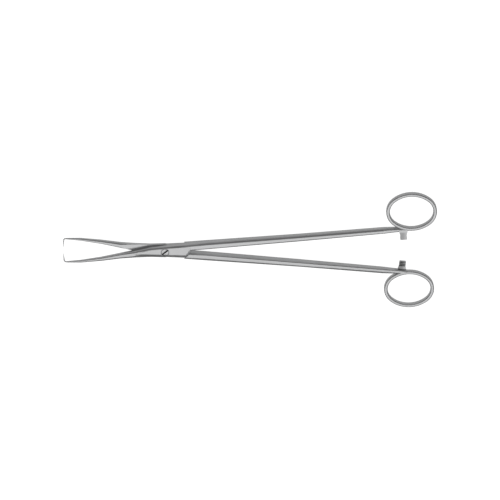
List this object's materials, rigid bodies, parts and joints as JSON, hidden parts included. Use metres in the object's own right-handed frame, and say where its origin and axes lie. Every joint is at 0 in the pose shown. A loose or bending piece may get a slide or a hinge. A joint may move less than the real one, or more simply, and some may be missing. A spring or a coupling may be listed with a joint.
{
  "type": "surgical forceps",
  "caption": "Long ring handled surgical forceps with a screw lap joint, ratchet arms between the rings and slim jaws that end in sharp inward hooks.",
  "frame": {"origin": "where the pivot axis meets the flat underside of the joint", "axes": "+X along the forceps from the joint to the finger rings, +Z along the pivot axis up through the head of the screw, +Y towards the ring of the front half; the forceps stand open by 7.2 degrees at rest, half of it on either side of the XZ plane"},
  "size_m": [0.2487, 0.0852, 0.007],
  "materials": {
    "satin_steel": "satin, fine blasted",
    "screw_steel": "satin, turned"
  },
  "bodies": {
    "rear": {"rear_half": "satin_steel", "pivot_screw": "screw_steel"},
    "front": {"front_half": "satin_steel"}
  },
  "joints": [
    {"name": "screw_joint", "type": "hinge", "parent": "rear", "child": "front", "pos_m": [0, 0, 0.0035], "axis": [0, 0, 1], "range_deg": [-7.2, 40]}
  ]
}
